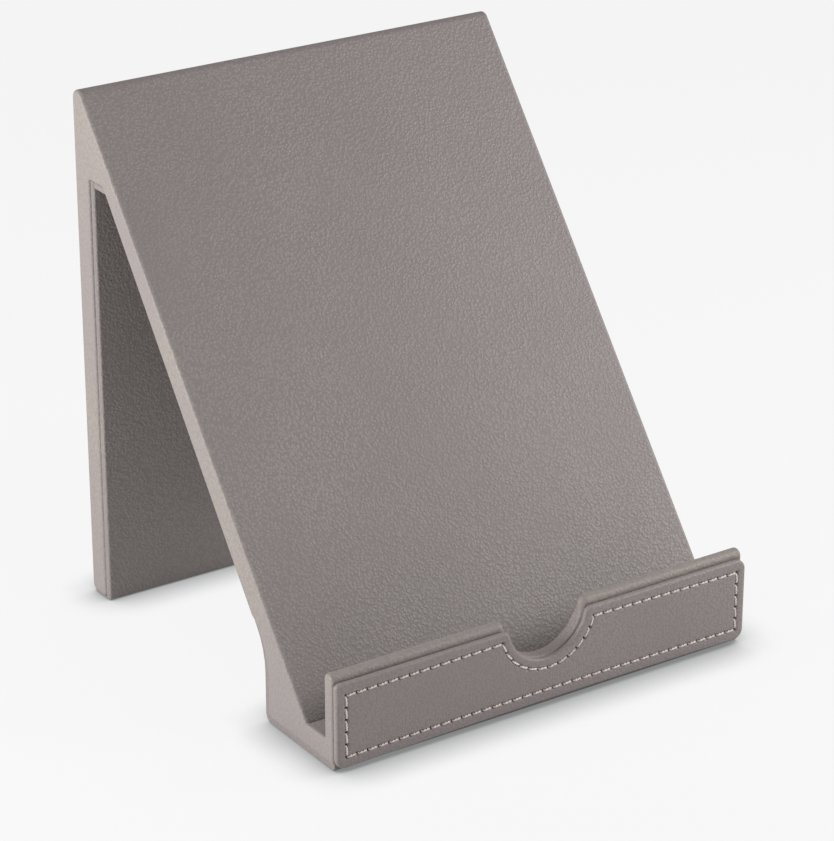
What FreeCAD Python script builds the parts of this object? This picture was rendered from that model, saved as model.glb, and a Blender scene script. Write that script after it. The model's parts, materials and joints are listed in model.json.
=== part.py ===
# Tablet stand: boards and blocks glued into one fixed frame, covered in leather.
# Every piece of the frame, cover, linings and facing is an object of its own.
#
# Side view: a vertical rear leg and a sloping panel meet at a rounded ridge, with a wedge-shaped block
# between them. The panel stands on a base board behind a shallow tray, closed in front by a low lip.
# A stitched facing is fixed on the lip, and both have a half-round notch in the middle.
#
# In the sketches, "back" is the distance behind the front of the facing and "up" the height above the
# floor. The finished parts stand with the middle of their footprint on the origin, front towards -Y.
import FreeCAD, Part
import math
import os

import Sketcher
from FreeCAD import Placement, Rotation, Vector

doc = FreeCAD.newDocument("TabletStand")

# ---------------------------------------------------------------- driving sizes, in millimetres
driving_sizes = (
    ("overallWidth", 200, "side to side"),
    ("overallDepth", 194, "front of the facing to the back of the leg"),
    ("panelAngle", 52, "slope of the panel above the floor, in degrees"),
    ("ridgeRadius", 3.7, "rounding of the ridge, outside the leather"),
    ("ridgeBlockDrop", 43, "sharp corner of panel and leg, down to the ridge block's underside"),
    ("leather", 1, "thickness of every leather skin"),
    ("sideCover", 1.6, "thickness of a side cover with its turned edges"),
    ("edgeRounding", 0.8, "rounding of the covers' outer edges"),
    ("legBoard", 10, "thickness of the leg's board"),
    ("panelBoardFoot", 11.4, "thickness of the panel's board at the tray"),
    ("panelBoardRidge", 5.8, "thickness of the panel's board at the ridge"),
    ("trayFloor", 12.5, "height of the tray's floor"),
    ("trayDepth", 13.5, "gap between the lip and the foot of the panel"),
    ("footDepth", 53.5, "front of the facing to the back of the foot"),
    ("footHollow", 30, "radius of the hollow rear face of the foot"),
    ("heelRounding", 4, "rounding of the rear bottom corner of the foot"),
    ("lipHeight", 41.5, "top of the lip above the floor"),
    ("lipBoard", 4, "thickness of the lip's board"),
    ("lipTopFlat", 0.2, "flat left between the two roundings of the lip's top"),
    ("notchRadius", 19, "half-round notch in lip and facing"),
    ("notchDrop", 0.5, "top of the lip, down to the centre of the notch"),
    ("notchShoulder", 2.5, "rounding where the notch meets the top of the facing"),
    ("facingCard", 2, "thickness of the card in the facing"),
    ("facingTop", 38.7, "top of the facing above the floor"),
    ("facingLift", 2.2, "bottom of the facing above the floor"),
    ("facingCorner", 2.5, "rounding of the facing's corners"),
    ("liningCard", 2, "thickness of the card in the linings"),
    ("liningInset", 0.7, "linings stop this far short of each side"),
    ("liningTop", 42, "top of the lining on the foot above the floor"),
    ("dowelRadius", 2.5, "beech dowels"),
    ("ridgeDowel", 15, "length of a dowel in the ridge"),
    ("footDowel", 14, "length of a dowel in the foot"),
    ("dowelCount", 4, "dowels in each row"),
    ("pinRadius", 0.8, "steel pins"),
    ("panelPin", 14, "length of a pin from the panel into the ridge block"),
    ("lipPin", 20, "length of a pin from the lip into the base"),
    ("pinCount", 5, "pins in each row"),
    ("rowMargin", 25, "first dowel or pin of a row from the side"),
    ("pinMargin", 12, "first pin of a row from the side"),
    ("stitchLength", 3.5, "visible length of a stitch"),
    ("stitchPitch", 4.9, "from one stitch to the next"),
    ("threadRadius", 0.4, "radius of the thread"),
    ("stitchSide", 4.6, "stitch line from the facing's ends"),
    ("stitchBottom", 5, "stitch line from the facing's bottom edge"),
    ("stitchTopEnd", 5.2, "stitch line from the facing's top edge, at the ends"),
    ("stitchNotch", 4.2, "stitch line from the edge of the notch"),
)

sizes = doc.addObject("Spreadsheet::Sheet", "Sizes")
for row, (name, size, meaning) in enumerate(driving_sizes, start=1):
    sizes.set(f"A{row}", name)
    sizes.set(f"B{row}", str(size))
    sizes.setAlias(f"B{row}", name)
    sizes.set(f"C{row}", meaning)
doc.recompute()


def size_of(expression):
    """The present value of an expression over the sheet's names."""
    result = sizes.evalExpression(expression)
    return float(getattr(result, "Value", result))


def sheet(text):
    """Write the sheet's names in a formula in full: {leather} becomes Sizes.leather."""
    return text.replace("{", "Sizes.").replace("}", "")


# ---------------------------------------------------------------- lines of the side view
half_width = sheet("({overallWidth} / 2)")
core_half_width = sheet("({overallWidth} / 2 - {sideCover})")
lining_half_width = sheet("({overallWidth} / 2 - {liningInset})")
facing_back = sheet("({leather} + {facingCard})")
lip_inside = sheet("({leather} * 3 + {facingCard} + {lipBoard})")
panel_foot = f"({lip_inside} + Sizes.trayDepth)"
base_bottom = sheet("({leather} + {liningCard})")
base_top = sheet("({trayFloor} - {leather})")
leg_back = sheet("({overallDepth} - {leather})")
leg_front = sheet("({overallDepth} - {leather} - {legBoard})")
leg_lining_front = sheet("({overallDepth} - {leather} * 2 - {legBoard} - {liningCard})")
foot_core_back = sheet("({footDepth} - {leather} - {liningCard})")
sharp_ridge = sheet(f"({{trayFloor}} + ({{overallDepth}} - {panel_foot}) * tan({{panelAngle}}))")
hollow_top = f"({sharp_ridge} - Sizes.ridgeBlockDrop)"
ridge_lining_bottom = sheet(f"({hollow_top} - {{leather}} - {{liningCard}})")
lip_rounding = sheet("({lipBoard} / 2 + {leather} - {lipTopFlat} / 2)")
lip_board_rounding = sheet("({lipBoard} / 2 - {lipTopFlat} / 2)")
notch_height = sheet("({lipHeight} - {notchDrop})")


def face_back(height, depth):
    """How far back the panel is at a height, at a depth below the surface of its face."""
    return sheet(f"({panel_foot} + ({height} - {{trayFloor}}) / tan({{panelAngle}})"
                 f" + ({depth}) / sin({{panelAngle}}))")


def face_up(back, depth):
    """How high the panel is at a distance back, at a depth below the surface of its face."""
    return sheet(f"({{trayFloor}} + ({back} - {panel_foot}) * tan({{panelAngle}})"
                 f" - ({depth}) / cos({{panelAngle}}))")


# The panel's board grows thicker towards the tray, so its underside is a line between two points:
# one square to the foot of the face and one square to the sharp ridge.
foot_depth = sheet("({leather} + {panelBoardFoot})")
ridge_depth = sheet("({leather} + {panelBoardRidge})")


def underside_point(depth_at_foot, depth_at_ridge):
    """The two ends of a line under the panel, as (back, up) pairs."""
    low = (sheet(f"({panel_foot} + ({depth_at_foot}) * sin({{panelAngle}}))"),
           sheet(f"({{trayFloor}} - ({depth_at_foot}) * cos({{panelAngle}}))"))
    high = (sheet(f"({{overallDepth}} + ({depth_at_ridge}) * sin({{panelAngle}}))"),
            sheet(f"({sharp_ridge} - ({depth_at_ridge}) * cos({{panelAngle}}))"))
    return low, high


def under_back(height, skin="0"):
    """How far back the underside of the panel's board is at a height; skin adds a layer under it."""
    low, high = underside_point(f"{foot_depth} + {skin}", f"{ridge_depth} + {skin}")
    return f"({low[0]} + ({height} - {low[1]}) * ({high[0]} - {low[0]}) / ({high[1]} - {low[1]}))"


def under_up(back, skin="0"):
    """How high the underside of the panel's board is at a distance back."""
    low, high = underside_point(f"{foot_depth} + {skin}", f"{ridge_depth} + {skin}")
    return f"({low[1]} + ({back} - {low[0]}) * ({high[1]} - {low[1]}) / ({high[0]} - {low[0]}))"


skin = "Sizes.leather"
inner_ridge = face_up(leg_back, skin)
foot_fold = under_up("Sizes.footDepth", skin)

# ---------------------------------------------------------------- building blocks
shift_back = "-Sizes.overallDepth / 2"
side_view = "YZ_Plane"
front_view = "XZ_Plane"
finished = []


def origin_plane(body, role):
    return next(item for item in body.Origin.OriginFeatures if item.Role == role)


def new_body(name):
    body = doc.addObject("PartDesign::Body", name + "_body")
    body.setExpression("Placement.Base.y", shift_back)
    return body


def outline(body, name, role, corners):
    """A closed outline of straight lines, each corner held at two expressions."""
    sketch = body.newObject("Sketcher::SketchObject", name)
    sketch.AttachmentSupport = [(origin_plane(body, role), "")]
    sketch.MapMode = "FlatFace"
    points = [Vector(size_of(across), size_of(up), 0) for across, up in corners]
    for start, end in zip(points, points[1:] + points[:1]):
        sketch.addGeometry(Part.LineSegment(start, end), False)
    count = len(points)
    for line in range(count):
        sketch.addConstraint(Sketcher.Constraint("Coincident", line, 2, (line + 1) % count, 1))
    for line, (across, up) in enumerate(corners):
        for kind, expression in (("DistanceX", across), ("DistanceY", up)):
            held = Sketcher.Constraint(kind, -1, 1, line, 1, size_of(expression))
            index = sketch.addConstraint(held)
            sketch.setExpression(f"Constraints[{index}]", expression)
    return sketch


def circle(body, name, role, across, up, radius):
    sketch = body.newObject("Sketcher::SketchObject", name)
    sketch.AttachmentSupport = [(origin_plane(body, role), "")]
    sketch.MapMode = "FlatFace"
    middle = Vector(size_of(across), size_of(up), 0)
    sketch.addGeometry(Part.Circle(middle, Vector(0, 0, 1), size_of(radius)), False)
    sketch.addConstraint(Sketcher.Constraint("PointOnObject", 0, 3, -2))
    index = sketch.addConstraint(Sketcher.Constraint("DistanceY", -1, 1, 0, 3, size_of(up)))
    sketch.setExpression(f"Constraints[{index}]", up)
    index = sketch.addConstraint(Sketcher.Constraint("Radius", 0, size_of(radius)))
    sketch.setExpression(f"Constraints[{index}]", radius)
    return sketch


def pad(body, sketch, length, symmetric=True, backwards=False):
    feature = body.newObject("PartDesign::Pad", sketch.Name + "_pad")
    feature.Profile = sketch
    feature.SideType = "Symmetric" if symmetric else "One side"
    feature.Reversed = backwards
    feature.setExpression("Length", length)
    doc.recompute()
    return feature


def pocket_through(body, sketch):
    """Cut an outline right through, both ways, and make sure that something was cut."""
    before = body.Shape.Volume
    feature = body.newObject("PartDesign::Pocket", sketch.Name + "_pocket")
    feature.Profile = sketch
    feature.SideType = "Symmetric"
    feature.Type = "ThroughAll"
    doc.recompute()
    if body.Shape.Volume > before - 1:
        raise RuntimeError(f"{sketch.Name} cut nothing")


def round_edges(body, name, radius, wanted):
    """Round the edges of the body's last feature that the test picks out."""
    doc.recompute()
    base = body.Tip
    names = [f"Edge{number}" for number, edge in enumerate(base.Shape.Edges, start=1) if wanted(edge)]
    if not names:
        raise RuntimeError(f"{name} found no edge")
    fillet = body.newObject("PartDesign::Fillet", name)
    fillet.Base = (base, names)
    fillet.setExpression("Radius", radius)
    doc.recompute()


def side_to_side(corners):
    """A test for edges that run side to side at the given (back, up) corners of the side view."""
    places = [(size_of(back), size_of(up)) for back, up in corners]

    def wanted(edge):
        ends = [vertex.Point for vertex in edge.Vertexes]
        if len(ends) != 2 or abs(ends[0].x - ends[1].x) < 1:
            return False
        return any(all(math.hypot(end.y - back, end.z - up) < 0.01 for end in ends)
                   for back, up in places)

    return wanted


def slab(name, corners, half, roundings=()):
    """A piece with one outline all the way from side to side, with some of its corners rounded."""
    body = new_body(name)
    pad(body, outline(body, name + "_outline", side_view, corners), f"2 * {half}")
    for number, (radius, rounded) in enumerate(roundings, start=1):
        round_edges(body, f"{name}_rounding{number}", radius, side_to_side(rounded))
    return body


def front_to_back(edge):
    ends = [vertex.Point for vertex in edge.Vertexes]
    return len(ends) == 2 and abs(ends[0].y - ends[1].y) > 0.5 and abs(ends[0].x - ends[1].x) < 0.01


def plate(name, half, bottom, top, front, back, corner):
    """An upright plate across the front, with rounded ends."""
    body = new_body(name)
    corners = ((f"-{half}", bottom), (half, bottom), (half, top), (f"-{half}", top))
    sketch = outline(body, name + "_outline", front_view, corners)
    sketch.setExpression("AttachmentOffset.Base.z", f"-{front}")
    pad(body, sketch, f"{back} - {front}", symmetric=False, backwards=True)
    if corner:
        round_edges(body, name + "_ends", corner, front_to_back)
    return body


def cut_notch(body, name, radius):
    pocket_through(body, circle(body, name + "_notch", front_view, "0", notch_height, radius))


def without(name, base, tools):
    """The base with the room for each tool taken out of it."""
    for number, tool in enumerate(tools, start=1):
        cut = doc.addObject("Part::Cut", f"{name}_cut{number}")
        cut.Base = base
        cut.Tool = tool
        base = cut
    return base


def finish(name, piece):
    """Give a piece its own name and keep it for writing."""
    piece.Label = name
    finished.append(piece)
    return piece


def rod_row(name, count, radius, length, margin, back, up, lean):
    """Equal rods in a row from side to side; lean turns them from upright towards the back."""
    rods = []
    total = int(size_of(count))
    for number in range(total):
        rod = doc.addObject("Part::Cylinder", f"{name}_{number + 1}")
        rod.Placement = Placement(Vector(0, 0, 0), Rotation(Vector(1, 0, 0), 1))
        rod.setExpression("Radius", radius)
        rod.setExpression("Height", length)
        spacing = f"(2 * ({core_half_width} - {margin}) / ({count} - 1))"
        rod.setExpression("Placement.Base.x", f"-({core_half_width} - {margin}) + {number} * {spacing}")
        rod.setExpression("Placement.Base.y", f"{back} {shift_back}")
        rod.setExpression("Placement.Base.z", up)
        rod.setExpression("Placement.Rotation.Angle", f"-({lean}) * 1 deg")
        rods.append(rod)
    row = doc.addObject("Part::Compound", name + "_row")
    row.Links = rods
    doc.recompute()
    return row


# ---------------------------------------------------------------- dowels and pins
# A row of dowels lies from the leg into the ridge block, low in the block's section.
ridge_dowels = rod_row("ridge_dowels", "Sizes.dowelCount", "Sizes.dowelRadius", "Sizes.ridgeDowel",
                       "Sizes.rowMargin", sheet(f"({leg_back} - {{dowelRadius}} / 2 - {{ridgeDowel}})"),
                       sheet(f"{hollow_top} + {{dowelRadius}} * 1.8"), "90")
# A row of dowels stands half in the base board and half in the foot block.
foot_dowels = rod_row("foot_dowels", "Sizes.dowelCount", "Sizes.dowelRadius", "Sizes.footDowel",
                      "Sizes.rowMargin", sheet(f"({foot_core_back} - {{dowelRadius}} * 1.6)"),
                      sheet(f"{base_top} - {{footDowel}} / 2"), "0")
# Pins go square through the panel's board and on through the middle of the ridge block's section.
block_back = f"({leg_front} - ({leg_front} - {under_back(hollow_top)}) / 3)"
block_up = f"({hollow_top} + ({under_up(leg_front)} - {hollow_top}) / 3)"
block_depth = sheet(f"(({block_back} - {panel_foot}) * sin({{panelAngle}})"
                    f" - ({block_up} - {{trayFloor}}) * cos({{panelAngle}}) - {{leather}})")
panel_pins = rod_row("panel_pins", "Sizes.pinCount", "Sizes.pinRadius", "Sizes.panelPin",
                     "Sizes.pinMargin", f"({block_back} - {block_depth} * sin(Sizes.panelAngle))",
                     f"{block_up} + {block_depth} * cos(Sizes.panelAngle)",
                     "180 - Sizes.panelAngle")
# Pins go level through the lip's board into the edge of the base board.
lip_pins = rod_row("lip_pins", "Sizes.pinCount", "Sizes.pinRadius", "Sizes.lipPin", "Sizes.pinMargin",
                   f"({facing_back} + Sizes.leather)", f"({base_bottom} + {base_top}) / 2", "90")

# ---------------------------------------------------------------- boards and blocks
# The sloping board: its face just under the leather, its foot on the base board, its top at the leg.
panel_blank = slab("panel_board", (
    (face_back(base_top, skin), base_top),
    (under_back(base_top), base_top),
    (leg_front, under_up(leg_front)),
    (leg_front, face_up(leg_front, skin)),
), core_half_width)

# The upright board at the back, cut to the slope of the panel's face at the top.
leg_blank = slab("leg_board", (
    (leg_front, skin),
    (leg_back, skin),
    (leg_back, inner_ridge),
    (leg_front, face_up(leg_front, skin)),
), core_half_width, (("Sizes.ridgeRadius - Sizes.leather", ((leg_back, inner_ridge),)),))

# The wedge between the two boards.
ridge_blank = slab("ridge_block", (
    (under_back(hollow_top), hollow_top),
    (leg_front, hollow_top),
    (leg_front, under_up(leg_front)),
), core_half_width)

# The wedge behind the foot of the panel, with its back upright.
foot_blank = slab("foot_block", (
    (under_back(base_top), base_top),
    (foot_core_back, base_top),
    (foot_core_back, under_up(foot_core_back)),
), core_half_width)

base_back = f"({facing_back} + Sizes.leather + Sizes.lipBoard)"
base_blank = slab("base_board", (
    (base_back, base_bottom),
    (foot_core_back, base_bottom),
    (foot_core_back, base_top),
    (base_back, base_top),
), core_half_width)

# The lip's board stands in front of the base board, rounded over its top, with the notch cut in it.
lip_front = f"({facing_back} + Sizes.leather)"
lip_top = "(Sizes.lipHeight - Sizes.leather)"
lip_blank = slab("lip_board", (
    (lip_front, base_bottom),
    (base_back, base_bottom),
    (base_back, lip_top),
    (lip_front, lip_top),
), core_half_width, ((lip_board_rounding, ((lip_front, lip_top), (base_back, lip_top))),))
cut_notch(lip_blank, "lip_board", "Sizes.notchRadius + Sizes.leather")

finish("panel_board", without("panel_board", panel_blank, [panel_pins, ridge_dowels, foot_dowels]))
finish("leg_board", without("leg_board", leg_blank, [ridge_dowels]))
finish("ridge_block", without("ridge_block", ridge_blank, [ridge_dowels, panel_pins]))
finish("foot_block", without("foot_block", foot_blank, [foot_dowels]))
finish("base_board", without("base_board", base_blank, [foot_dowels, lip_pins]))
finish("lip_board", without("lip_board", lip_blank, [lip_pins]))
finish("ridge_dowels", ridge_dowels)
finish("foot_dowels", foot_dowels)
finish("panel_pins", panel_pins)
finish("lip_pins", lip_pins)

# ---------------------------------------------------------------- leather cover
# One sheet runs up the panel's face, over the ridge and down the back of the leg.
finish("panel_wrap", slab("panel_wrap", (
    (panel_foot, "Sizes.trayFloor"),
    (face_back(base_top, skin), base_top),
    (leg_back, inner_ridge),
    (leg_back, skin),
    ("Sizes.overallDepth", skin),
    ("Sizes.overallDepth", sharp_ridge),
), core_half_width, (
    ("Sizes.ridgeRadius", (("Sizes.overallDepth", sharp_ridge),)),
    ("Sizes.ridgeRadius - Sizes.leather", ((leg_back, inner_ridge),)),
)))

# The tray's sheet meets the panel's in a mitre, covers the floor, goes up the inside of the lip, over
# it and down its front.
tray_corner = (lip_inside, "Sizes.trayFloor")
tray_wrap = slab("tray_wrap", (
    tray_corner,
    (panel_foot, "Sizes.trayFloor"),
    (face_back(base_top, skin), base_top),
    (base_back, base_top),
    (base_back, lip_top),
    (lip_front, lip_top),
    (lip_front, base_bottom),
    (facing_back, base_bottom),
    (facing_back, "Sizes.lipHeight"),
    (lip_inside, "Sizes.lipHeight"),
), core_half_width, (
    (lip_rounding, ((facing_back, "Sizes.lipHeight"), (lip_inside, "Sizes.lipHeight"))),
    (lip_board_rounding, ((lip_front, lip_top), (base_back, lip_top))),
    ("Sizes.leather", (tray_corner,)),
))
cut_notch(tray_wrap, "tray_wrap", "Sizes.notchRadius + Sizes.leather")
finish("tray_wrap", tray_wrap)

# The notch's lining is a half ring, trimmed to the rounded section of the lip.
lip_section = slab("lip_section", (
    (facing_back, base_bottom),
    (lip_inside, base_bottom),
    (lip_inside, "Sizes.lipHeight"),
    (facing_back, "Sizes.lipHeight"),
), "(Sizes.notchRadius + Sizes.leather * 2)",
    ((lip_rounding, ((facing_back, "Sizes.lipHeight"), (lip_inside, "Sizes.lipHeight"))),))
notch_rings = []
for name, radius in (("notch_outside", "Sizes.notchRadius + Sizes.leather"),
                     ("notch_inside", "Sizes.notchRadius")):
    ring = doc.addObject("Part::Cylinder", name)
    ring.Placement = Placement(Vector(0, 0, 0), Rotation(Vector(1, 0, 0), -90))
    ring.setExpression("Radius", radius)
    ring.setExpression("Height", "Sizes.footDepth")
    ring.setExpression("Placement.Base.y", shift_back)
    ring.setExpression("Placement.Base.z", notch_height)
    notch_rings.append(ring)
notch_strip = doc.addObject("Part::Common", "notch_strip")
notch_strip.Base = lip_section
notch_strip.Tool = notch_rings[0]
finish("notch_lining", without("notch_lining", notch_strip, [notch_rings[1]]))

# The whole side in one piece: lip, tray, panel, ridge block and leg, less the linings.
cover_underside = (
    (foot_core_back, base_bottom),
    (foot_core_back, under_up(foot_core_back)),
    (under_back("Sizes.liningTop"), "Sizes.liningTop"),
    (under_back("Sizes.liningTop", skin), "Sizes.liningTop"),
    (under_back(hollow_top, skin), hollow_top),
    (leg_front, hollow_top),
    (leg_front, skin),
)
side_outline = (
    (facing_back, base_bottom),
) + cover_underside + (
    ("Sizes.overallDepth", skin),
    ("Sizes.overallDepth", sharp_ridge),
    (panel_foot, "Sizes.trayFloor"),
    tray_corner,
    (lip_inside, "Sizes.lipHeight"),
    (facing_back, "Sizes.lipHeight"),
)


def outer_rim(side):
    """A test for the rim of a side cover's outer face."""
    def wanted(edge):
        return all(abs(vertex.Point.x - side * size_of(half_width)) < 0.01 for vertex in edge.Vertexes)
    return wanted


for name, side in (("side_cover_left", -1), ("side_cover_right", 1)):
    cover = new_body(name)
    cover_outline = outline(cover, name + "_outline", side_view, side_outline)
    cover_outline.setExpression("AttachmentOffset.Base.z", f"{side} * {half_width}")
    pad(cover, cover_outline, "Sizes.sideCover", symmetric=False, backwards=side > 0)
    round_edges(cover, name + "_ridge", "Sizes.ridgeRadius",
                side_to_side((("Sizes.overallDepth", sharp_ridge),)))
    round_edges(cover, name + "_lip", lip_rounding,
                side_to_side(((facing_back, "Sizes.lipHeight"), (lip_inside, "Sizes.lipHeight"))))
    round_edges(cover, name + "_rim", "Sizes.edgeRounding", outer_rim(side))
    finish(name, cover)

# ---------------------------------------------------------------- linings
# Each lining is leather turned round the edges of a card.
card_half_width = sheet("({overallWidth} / 2 - {liningInset} - {leather})")
leg_card_front = f"({leg_lining_front} + Sizes.leather)"
leg_card = slab("leg_lining_board", (
    (leg_card_front, "2 * Sizes.leather"),
    (leg_front, "2 * Sizes.leather"),
    (leg_front, f"({hollow_top} - Sizes.leather)"),
    (leg_card_front, f"({hollow_top} - Sizes.leather)"),
), card_half_width)
# The leg's lining turns under the end of the leg, which stands on it.
leg_sheet = slab("leg_lining", (
    (leg_lining_front, "0"),
    ("Sizes.overallDepth", "0"),
    ("Sizes.overallDepth", skin),
    (leg_front, skin),
    (leg_front, hollow_top),
    (leg_lining_front, hollow_top),
), lining_half_width)
finish("leg_lining_board", leg_card)
finish("leg_lining", without("leg_lining", leg_sheet, [leg_card]))

# A short strip goes on from the top of the leg's lining, under the ridge block.
finish("ridge_lining", slab("ridge_lining", (
    (under_back(ridge_lining_bottom, skin), ridge_lining_bottom),
    (leg_lining_front, ridge_lining_bottom),
    (leg_lining_front, hollow_top),
    (under_back(hollow_top, skin), hollow_top),
), lining_half_width))

# The panel's lining lies between the side covers, flush with them.
finish("panel_lining", slab("panel_lining", (
    (under_back("Sizes.liningTop"), "Sizes.liningTop"),
    (under_back("Sizes.liningTop", skin), "Sizes.liningTop"),
    (under_back(hollow_top, skin), hollow_top),
    (under_back(hollow_top), hollow_top),
), core_half_width))

# The base's lining goes back under the base, round the heel and up the hollow rear of the foot.
heel = ("Sizes.footDepth", "0")
fold = ("Sizes.footDepth", foot_fold)
base_sheet = slab("base_lining", (
    (facing_back, "0"),
    heel,
    fold,
    (under_back("Sizes.liningTop", skin), "Sizes.liningTop"),
    (under_back("Sizes.liningTop"), "Sizes.liningTop"),
    (foot_core_back, under_up(foot_core_back)),
    (foot_core_back, base_bottom),
    (facing_back, base_bottom),
), lining_half_width, (
    ("Sizes.footHollow", (fold,)),
    ("Sizes.heelRounding", (heel,)),
))
card_front = f"({facing_back} + Sizes.leather)"
card_back = "(Sizes.footDepth - Sizes.leather)"
base_card = slab("base_lining_board", (
    (card_front, skin),
    (f"({foot_core_back})", skin),
    (foot_core_back, base_bottom),
    (card_front, base_bottom),
), card_half_width)
foot_card = slab("foot_lining_board", (
    (foot_core_back, f"({base_bottom} + Sizes.leather)"),
    (card_back, f"({base_bottom} + Sizes.leather)"),
    (card_back, f"({under_up(foot_core_back)} - Sizes.liningCard)"),
    (foot_core_back, f"({under_up(foot_core_back)} - Sizes.liningCard / 2)"),
), card_half_width)
finish("base_lining_board", base_card)
finish("foot_lining_board", foot_card)
finish("base_lining", without("base_lining", base_sheet, [base_card, foot_card]))

# ---------------------------------------------------------------- stitched facing on the lip
facing_shape = plate("facing_leather", half_width, "Sizes.facingLift", "Sizes.facingTop", "0",
                     facing_back, "Sizes.facingCorner")
cut_notch(facing_shape, "facing_leather", "Sizes.notchRadius")
inner_corner = "Sizes.facingCorner - Sizes.leather"
facing_card = plate("facing_board", f"({half_width} - Sizes.leather)",
                    "(Sizes.facingLift + Sizes.leather)", "(Sizes.facingTop - Sizes.leather)",
                    "Sizes.leather", facing_back, inner_corner)
cut_notch(facing_card, "facing_board", "Sizes.notchRadius + Sizes.leather")


def beside_notch(edge):
    """The two edges where the notch meets the top of the facing."""
    ends = [vertex.Point for vertex in edge.Vertexes]
    inside = abs(ends[0].x) < size_of("Sizes.notchRadius + Sizes.leather * 2")
    return front_to_back(edge) and inside


round_edges(facing_shape, "facing_leather_shoulders", "Sizes.notchShoulder", beside_notch)
round_edges(facing_card, "facing_board_shoulders", "Sizes.notchShoulder - Sizes.leather", beside_notch)


def facing_front_rim(edge):
    return all(abs(vertex.Point.y) < 0.01 for vertex in edge.Vertexes)


round_edges(facing_shape, "facing_leather_rim", "Sizes.edgeRounding", facing_front_rim)


def even_steps(start, end):
    """Points evenly spaced from start to end, about one stitch apart."""
    steps = max(2, round((end - start).Length / size_of("Sizes.stitchPitch")))
    return [start + (end - start) * (step / steps) for step in range(steps)]


def needle_holes():
    """Where the thread goes through the facing, right round it, as points of the front view."""
    end = size_of(f"{half_width} - Sizes.stitchSide")
    low = size_of("Sizes.facingLift + Sizes.stitchBottom")
    high = size_of("Sizes.facingTop - Sizes.stitchTopEnd")
    middle = size_of(notch_height)
    radius = size_of("Sizes.notchRadius + Sizes.stitchNotch")
    # The line round the notch leaves the top row where its circle meets the height of the row.
    start_angle = math.asin((middle - size_of("Sizes.facingTop - Sizes.stitchNotch")) / radius)
    sweep = math.pi - 2 * start_angle
    arc_steps = round(sweep * radius / size_of("Sizes.stitchPitch"))
    arc = []
    for step in range(arc_steps):
        angle = math.pi + start_angle + sweep * step / arc_steps
        arc.append(Vector(radius * math.cos(angle), 0, middle + radius * math.sin(angle)))
    notch_right = Vector(-arc[0].x, 0, arc[0].z)
    corners = (Vector(-end, 0, low), Vector(-end, 0, high), arc[0],
               notch_right, Vector(end, 0, high), Vector(end, 0, low))
    holes = even_steps(corners[0], corners[1]) + even_steps(corners[1], corners[2]) + arc
    holes += even_steps(notch_right, corners[4]) + even_steps(corners[4], corners[5])
    return holes + even_steps(corners[5], corners[0])


def stitch_shape():
    """One short thread between each pair of needle holes, sunk in the leather but for its crown."""
    radius = size_of("Sizes.threadRadius")
    length = size_of("Sizes.stitchLength")
    sunk = Vector(0, radius * 0.75, 0)
    holes = needle_holes()
    threads = []
    for start, end in zip(holes, holes[1:] + holes[:1]):
        along = (end - start).normalize()
        middle = (start + end) * 0.5 + sunk
        threads.append(Part.makeCylinder(radius, length, middle - along * (length / 2), along))
    return Part.makeCompound(threads)


stitching = doc.addObject("Part::Feature", "facing_thread")
stitching.Shape = stitch_shape()
stitching.Placement.Base = Vector(0, size_of(shift_back), 0)
finish("facing_board", facing_card)
finish("facing_leather", without("facing_leather", facing_shape, [facing_card, stitching]))
finish("facing_stitching", stitching)

# ---------------------------------------------------------------- check and write
doc.recompute()
for item in doc.Objects:
    if "Invalid" in item.State or "Error" in item.State:
        raise RuntimeError(f"{item.Name} failed: {item.State}")
os.makedirs("parts", exist_ok=True)
for piece in finished:
    if piece.Shape.isNull() or not piece.Shape.isValid() or not piece.Shape.Solids:
        raise RuntimeError(f"{piece.Label} has no valid solid")
for piece in finished:
    piece.Shape.exportStep(f"parts/{piece.Label}.step")
    print(f"{piece.Label}: {len(piece.Shape.Solids)} solid(s), {piece.Shape.Volume:.0f} cubic mm")
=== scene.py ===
import json
import math

import bmesh
import bpy
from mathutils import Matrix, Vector


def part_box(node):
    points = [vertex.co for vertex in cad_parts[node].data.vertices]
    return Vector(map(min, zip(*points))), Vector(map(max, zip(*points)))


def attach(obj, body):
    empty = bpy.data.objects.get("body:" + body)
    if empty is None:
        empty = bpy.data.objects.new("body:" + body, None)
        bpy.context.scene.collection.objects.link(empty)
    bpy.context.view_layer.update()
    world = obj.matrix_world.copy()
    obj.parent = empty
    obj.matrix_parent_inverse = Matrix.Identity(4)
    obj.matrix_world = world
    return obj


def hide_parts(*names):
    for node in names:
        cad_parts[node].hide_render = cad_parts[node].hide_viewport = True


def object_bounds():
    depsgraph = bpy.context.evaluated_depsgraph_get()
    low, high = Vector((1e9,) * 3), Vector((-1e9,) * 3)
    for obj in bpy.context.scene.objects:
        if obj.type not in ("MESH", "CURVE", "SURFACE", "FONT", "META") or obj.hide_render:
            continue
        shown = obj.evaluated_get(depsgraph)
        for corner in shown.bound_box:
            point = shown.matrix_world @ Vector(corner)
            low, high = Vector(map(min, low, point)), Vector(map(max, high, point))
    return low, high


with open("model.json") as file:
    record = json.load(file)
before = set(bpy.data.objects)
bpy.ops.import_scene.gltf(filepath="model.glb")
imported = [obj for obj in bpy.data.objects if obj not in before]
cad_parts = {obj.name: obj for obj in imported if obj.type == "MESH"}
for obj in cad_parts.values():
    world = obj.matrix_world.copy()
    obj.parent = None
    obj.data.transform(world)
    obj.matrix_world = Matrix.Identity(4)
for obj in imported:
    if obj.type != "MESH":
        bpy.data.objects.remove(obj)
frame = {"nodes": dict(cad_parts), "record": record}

# A leather tablet stand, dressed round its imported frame. Metres, the front towards -Y, the floor at z = 0.
mm = 0.001
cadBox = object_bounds()
near = 0.02 * mm         # how close a corner has to be to a line to count as on it


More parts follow.
